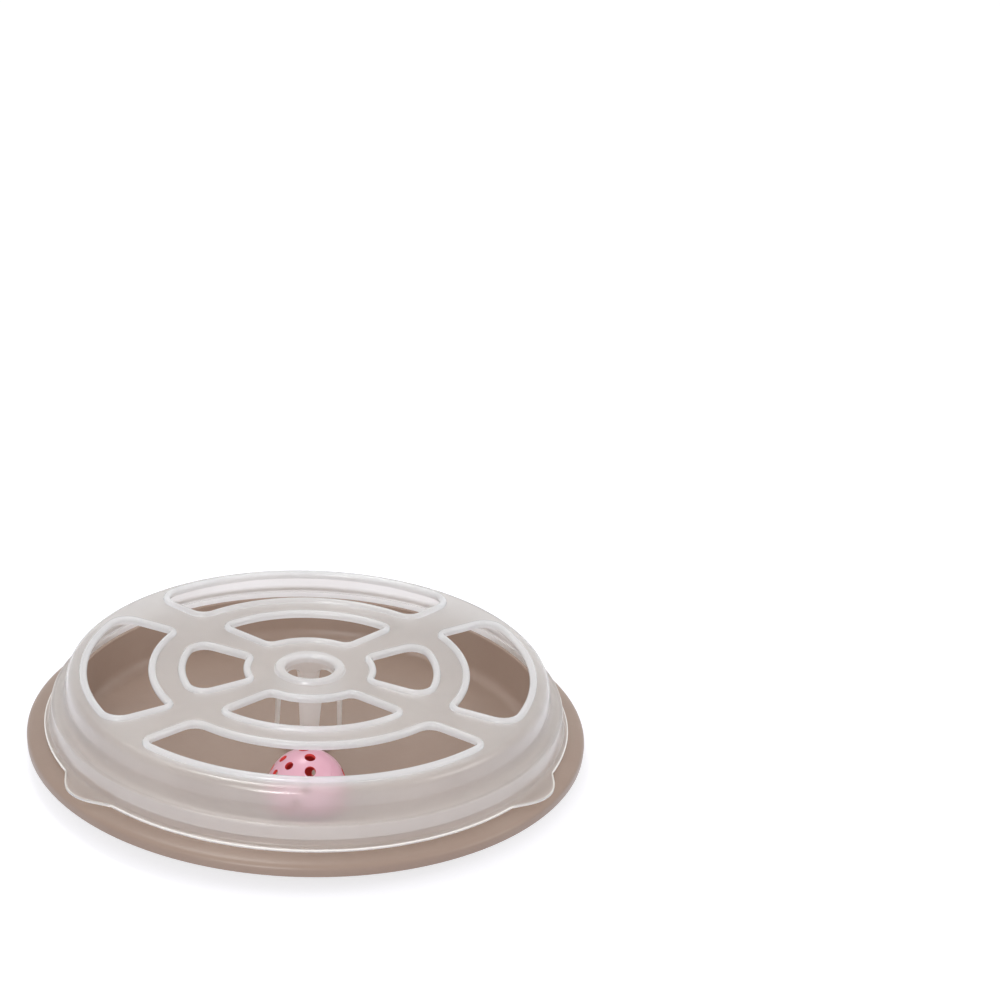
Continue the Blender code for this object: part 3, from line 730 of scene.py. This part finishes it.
# %% Finish the faces by place
# Radii and heights in millimetres, where one finish gives way to the next.
COLLAR_R, COLLAR_Z, TUBE_R = 18.8, 44.5, 18.6
HOLLOW_R, HOLLOW_Z = (125.0, 132.9), (31.0, 38.0)
SKIRT_R, SKIRT_Z = 133.8, (24.0, 30.8)
THIN_R, EDGE_R = 135.0, 137.9
UPRIGHT = 0.6


def finish_at(r, z, upright):
    """The finish for a face at radius r and height z in millimetres, or None to keep its own."""
    # The collar's top and the upright edges of lip and tabs are milkier and painted lighter.
    if (r < COLLAR_R and z > COLLAR_Z) or (r > EDGE_R and upright):
        return MILKY_AND_PAINTED_LIGHT
    # The skirt and the hub's legs are painted lighter.
    if (r > SKIRT_R and SKIRT_Z[0] < z < SKIRT_Z[1]) or (r < TUBE_R and z < COLLAR_Z):
        return SKIRT_PAINTED_LIGHT
    if HOLLOW_R[0] < r < HOLLOW_R[1] and HOLLOW_Z[0] < z < HOLLOW_Z[1]:
        return MATT
    return THIN if r > THIN_R else None


changed = 0
for face in dome.data.polygons:
    x, y, z = face.center
    found = finish_at(sqrt(x * x + y * y) / MM, z / MM, abs(face.normal.z) < UPRIGHT)
    if face.material_index != EDGE_PAINTED_HIGHLIGHT and found is not None:
        face.material_index = found
        changed += 1
print(changed, "faces finished by place")
fit(dome, FROSTED[CLEAR], "dome", "dome", "cover")

# %% [markdown]
# ## The ball
# The ball is moulded in two halves that meet in a plain band. Holes are drilled towards its centre: one
# at the pole, then a ring of small ones and a ring of larger ones, so the bell can be heard. Light that
# gets in bounces from pink to pink and little comes out again. The inside and the hole walls are
# therefore painted a much deeper pink: painted shade on the same pink plastic.

# %% Section of a half shell
INNER_R = BALL_R - BALL_WALL
SEAM, LAP = 0.08 * MM, 1.8 * MM


def arc(radius, a, b, steps):
    """Points on an arc, with angles from the pole."""
    turns = [a + (b - a) * i / steps for i in range(steps + 1)]
    return [Vector((radius * sin(t), radius * cos(t))) for t in turns]


def half_section(upper, rows=26):
    """From the pole outside to the seam, through the lap joint and back inside."""
    edge = SEAM / 2
    low_in = LAP + GAP if upper else 0.0
    points = arc(BALL_R, 0.0, pi / 2 - edge / BALL_R, rows)
    middle = (BALL_R + INNER_R) / 2 + (edge if upper else -edge)
    if upper:
        points += [Vector((middle, edge)), Vector((middle, low_in))]
    else:
        inside = sqrt(INNER_R**2 - LAP**2)
        points += [Vector((middle, edge)), Vector((middle, -LAP)), Vector((inside, -LAP))]
    points += arc(INNER_R, pi / 2 - asin(low_in / INNER_R), 0.0, rows)
    return points if upper else [Vector((p.x, -p.y)) for p in reversed(points)]


# %% Drill the holes
# Each row has its tilt from the pole, how many holes it has, where it starts, and their radius.
HOLE_ROWS = ((0.0, 1, 0.0, 2.1 * MM), (25.6, 6, 3.9, 2.3 * MM), (57.5, 12, 15.9, 2.8 * MM))
POLE_DIRECTION = Vector((-0.805, -0.244, 0.541)).normalized()
POLE = POLE_DIRECTION.to_track_quat("Z", "Y").to_matrix().to_4x4()


def drills(upper):
    """All drills of one half as one tool, each a short rod square to the shell."""
    made = []
    for tilt, count, start, radius in HOLE_ROWS:
        lean = Matrix.Rotation(radians(tilt if upper else 180.0 - tilt), 4, "Y")
        for i in range(count):
            aim = Matrix.Rotation(radians(start + 360.0 * i / count), 4, "Z") @ lean
            place = aim @ Matrix.Translation((0.0, 0.0, BALL_R))
            bm = bmesh.new()
            bmesh.ops.create_cone(bm, cap_ends=True, segments=28, radius1=radius,
                                  radius2=radius, depth=6 * MM, matrix=place)
            made.append(object_from(f"drill_{i}", bm))
    return merged("drills", made)


# %% Make both halves
SEAM_BAND, OUTSIDE, INSIDE = 2.5 * MM, BALL_R - 0.2 * MM, INNER_R + 0.1 * MM
for upper, name in ((True, "upper"), (False, "lower")):
    half = turned(f"ball_{name}", half_section(upper), 96, closed=False)
    combine(half, "DIFFERENCE", drills(upper))
    half.data.materials.append(ball_finish)
    half.data.materials.append(ball_inside_shade)
    # Faces inside the shell and along the hole walls get the painted-shade pink. The outside and the seam
    # band keep the plain pink.
    for face in half.data.polygons:
        far = face.center.length
        in_seam = abs(face.center.z) < SEAM_BAND and far > INSIDE
        face.material_index = int(far < OUTSIDE and not in_seam)
    half.data.transform(POLE)
    half.matrix_basis = Matrix.Translation(BALL_AT)
    fit(half, ball_finish, "ball", "ball", f"ball_half_{name}")

# %% [markdown]
# ## The bell
# A small jingle bell lies at the bottom of the ball: two brass cups crimped together, a crossed slot
# in the lower one, and a steel pellet that rattles inside. It shows only as a glint through the holes.

# %% The bell's cups
BELL_R, BELL_WALL, CRIMP = 6.1 * MM, 0.5 * MM, 6.5 * MM
BELL_AT = BALL_AT - Vector((0.0, 0.0, INNER_R - 0.6 * MM - BELL_R))


def cup_section(rows=20):
    """From the pole outside to the crimp and back inside."""
    edge, crimp_top = 0.15 * MM, 0.55 * MM
    inside = BELL_R - BELL_WALL
    points = arc(BELL_R, 0.0, pi / 2 - crimp_top / BELL_R, rows)
    points += [Vector((CRIMP, crimp_top)), Vector((CRIMP, edge))]
    return points + arc(inside, pi / 2 - edge / inside, 0.0, rows)


cap = turned("bell_cap_shell", cup_section(), 72, closed=False)
lower_section = [Vector((p.x, -p.y)) for p in reversed(cup_section())]
cup = turned("bell_cup_shell", lower_section, 72, closed=False)
SLOT_HALF, SLOT_END, SLOT_SHARE = 3.77 * MM, 1.2 * MM, 0.5
# Two round ends are joined by a slot half as wide as they are.
narrow = asin(SLOT_SHARE)
dumbbell = []
for side in (0.0, pi):
    for i in range(17):
        t = side - pi + narrow + (2 * pi - 2 * narrow) * i / 16
        dumbbell.append((SLOT_HALF * cos(side) + SLOT_END * cos(t), SLOT_END * sin(t)))
for turn in (0, 90):
    tool = slab(f"slot_{turn}", dumbbell, -8 * MM, -2 * MM)
    tool.matrix_basis = Matrix.Rotation(radians(turn), 4, "Z")
    bpy.context.view_layer.update()
    combine(cup, "DIFFERENCE", tool)
for obj, node in ((cap, "bell_cap"), (cup, "bell_cup")):
    obj.matrix_basis = Matrix.Translation(BELL_AT)
    fit(obj, bell_finish, "bell", "bell", node)

# %% The pellet
PELLET_R = 1.9 * MM
pellet = turned("bell_pellet_ball", arc(PELLET_R, 0.0, pi, 24), 36, closed=False)
drop = BELL_R - BELL_WALL - GAP - PELLET_R
pellet.matrix_basis = Matrix.Translation(BELL_AT - Vector((0.0, 0.0, drop)))
fit(pellet, pellet_finish, "bell", "pellet", "bell_pellet")

# %% [markdown]
# ## Light and ground
# The picture is a catalogue shot on white. A small light from above and behind puts a glint on the
# plate, a low one in front draws the short bright line along the dome's shoulder, and two wide ones
# fill the wall and the right side. The world adds an even level. The floor is pale, keeps a soft
# shadow, and looks white to the camera.

# %% Soft lights
TOWARD = Vector((0.0, 0.0, 0.03))
LAMPS = {
    "overhead": ((-0.25, 0.55, 1.5), 0.45, 4.5),
    "front": ((-0.43, -1.40, 0.42), 0.40, 4.0),
    "front_fill": ((-0.6, -1.5, 0.85), 1.0, 5.0),
    "side_fill": ((1.5, -0.4, 0.9), 1.0, 5.0),
}
for name, (at, size, watts) in LAMPS.items():
    data = bpy.data.lights.new(name, "AREA")
    data.shape, data.size, data.energy = "DISK", size, watts
    lamp = bpy.data.objects.new(name, data)
    lamp.location = at
    lamp.rotation_mode = "QUATERNION"
    lamp.rotation_quaternion = (TOWARD - Vector(at)).to_track_quat("-Z", "Y")
    bpy.context.scene.collection.objects.link(lamp)
print("lights:", list(LAMPS))

# %% What the camera and clear parts see


def seen(tree):
    """1 for rays from the camera or off glossy and clear surfaces, and 0 for rays that carry light."""
    path = tree.nodes.new("ShaderNodeLightPath")
    found = path.outputs["Is Camera Ray"]
    for label in ("Is Glossy Ray", "Is Transmission Ray"):
        found = combined(tree, "MAXIMUM", found, path.outputs[label])
    return found


# %% The world
WORLD_LEVEL = 0.62
world = bpy.data.worlds.new("studio")
bpy.context.scene.world = world
world.use_nodes = True
tree = world.node_tree
base = tree.nodes["Background"]
base.inputs["Color"].default_value = (1.0, 0.985, 0.97, 1.0)
level = remap(tree, seen(tree), 0.0, 1.0, WORLD_LEVEL, 1.0)
tree.links.new(level, base.inputs["Strength"])
print("world level", WORLD_LEVEL)

# %% The floor
FLOOR_HALF, FLOOR_TONE, FLOOR_GLOW = 6.0, (0.50, 0.50, 0.56, 1.0), 0.68
bm = bmesh.new()
bmesh.ops.create_grid(bm, x_segments=1, y_segments=1, size=FLOOR_HALF)
ground = object_from("floor", bm)
paper = bpy.data.materials.new("paper")
paper.use_nodes = True
tree = paper.node_tree
shader = tree.nodes["Principled BSDF"]
shader.inputs["Base Color"].default_value = FLOOR_TONE
shader.inputs["Roughness"].default_value = 0.9
shader.inputs["Emission Color"].default_value = (1.0, 1.0, 1.0, 1.0)
glow = remap(tree, seen(tree), 0.0, 1.0, 0.0, FLOOR_GLOW)
tree.links.new(glow, shader.inputs["Emission Strength"])
ground.data.materials.append(paper)
scene = bpy.context.scene
scene.view_settings.view_transform = "Standard"
print("floor ready")
